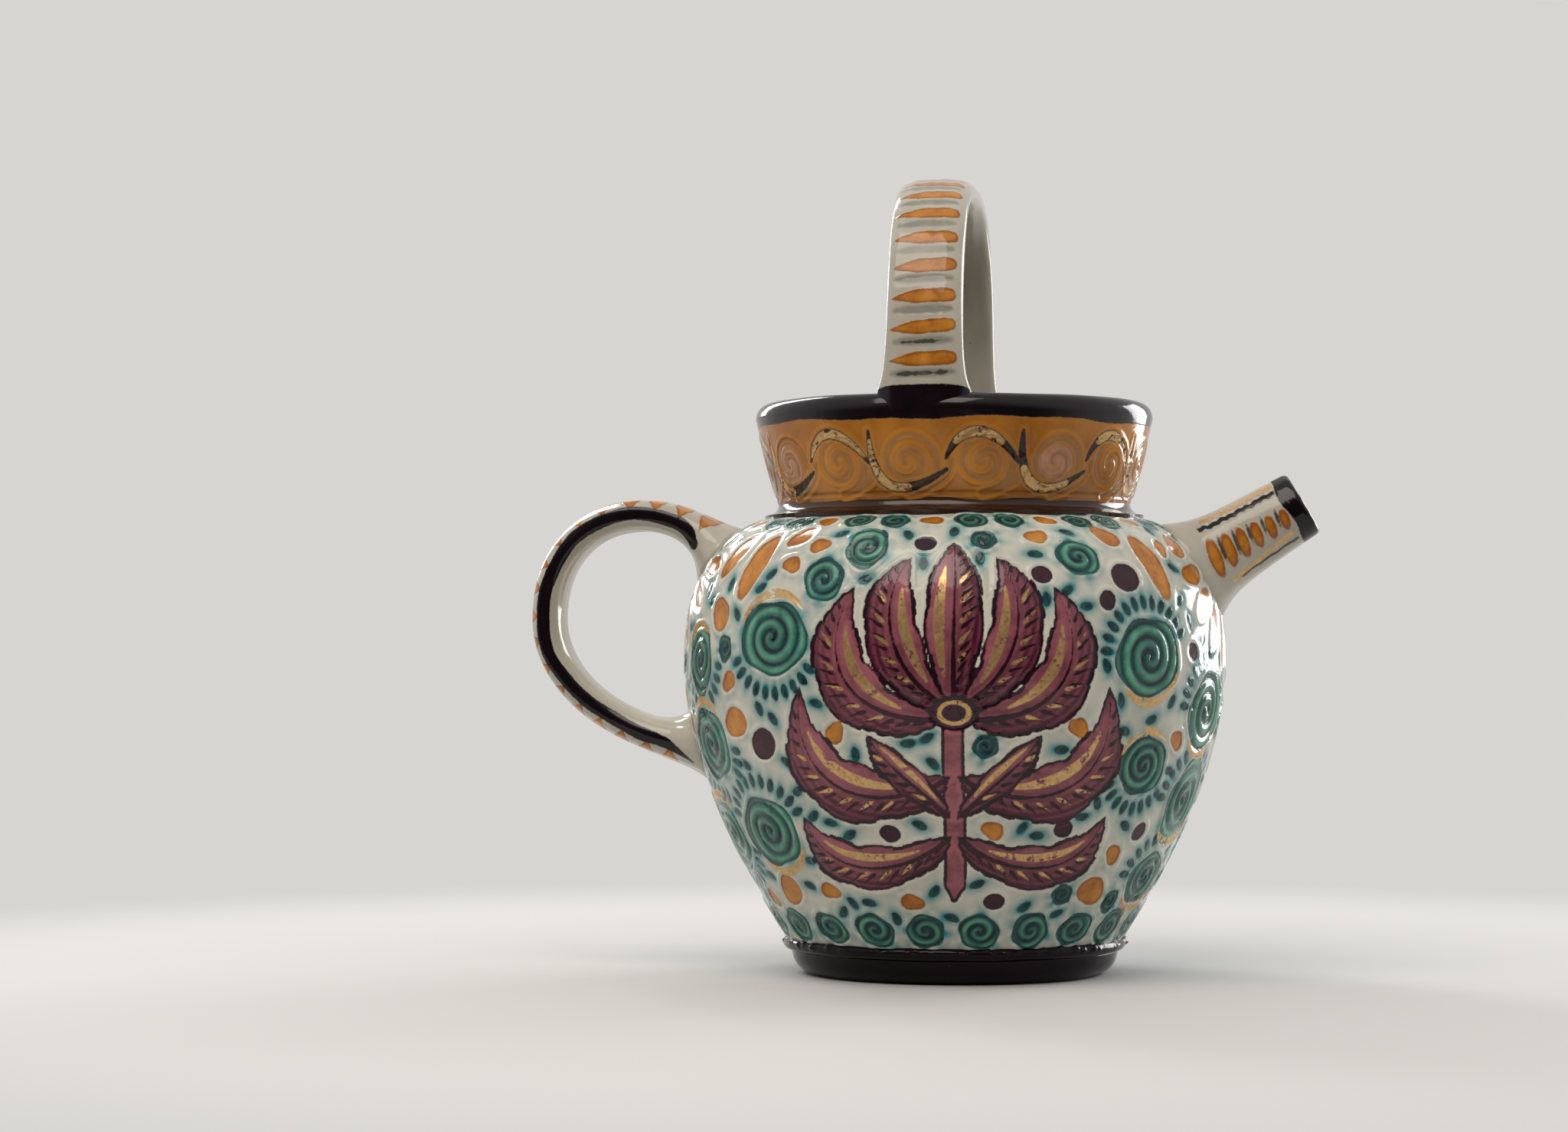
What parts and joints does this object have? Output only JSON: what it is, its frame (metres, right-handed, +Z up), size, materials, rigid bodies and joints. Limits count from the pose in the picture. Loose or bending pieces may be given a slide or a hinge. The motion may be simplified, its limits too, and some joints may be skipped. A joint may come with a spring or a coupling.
{
  "type": "earthenware jug",
  "caption": "Round-bellied glazed earthenware jug with a flared collar, a strap bail over the mouth, an ear-shaped side handle and a short tube spout.",
  "frame": {"origin": "centre of the flat underside of the base slab, on the jug's turning axis", "axes": "+Z up along the turning axis, +X towards the spout, -X towards the side handle, and the bail spans the mouth from -Y to +Y"},
  "size_m": [0.2574, 0.1772, 0.2575],
  "materials": {
    "white_glaze": "glossy off-white tin glaze over low relief",
    "amber_glaze": "glossy amber-brown glaze, pooled darker in incised lines",
    "dark_glaze": "very glossy aubergine-black glaze",
    "green_glaze": "glossy copper-green glaze that bleeds teal at its edges",
    "purple_glaze": "glossy manganese-purple glaze, darker along its outlines",
    "gold_lustre": "thin metallic gold lustre, brushed on"
  },
  "bodies": {
    "root": {"base_slab": "dark_glaze", "foot_seam_coil": "dark_glaze", "belly_wall": "white_glaze", "neck_seam_coil": "dark_glaze", "collar": "amber_glaze", "bail_handle": "white_glaze", "side_handle": "white_glaze", "spout": "white_glaze"}
  },
  "joints": []
}
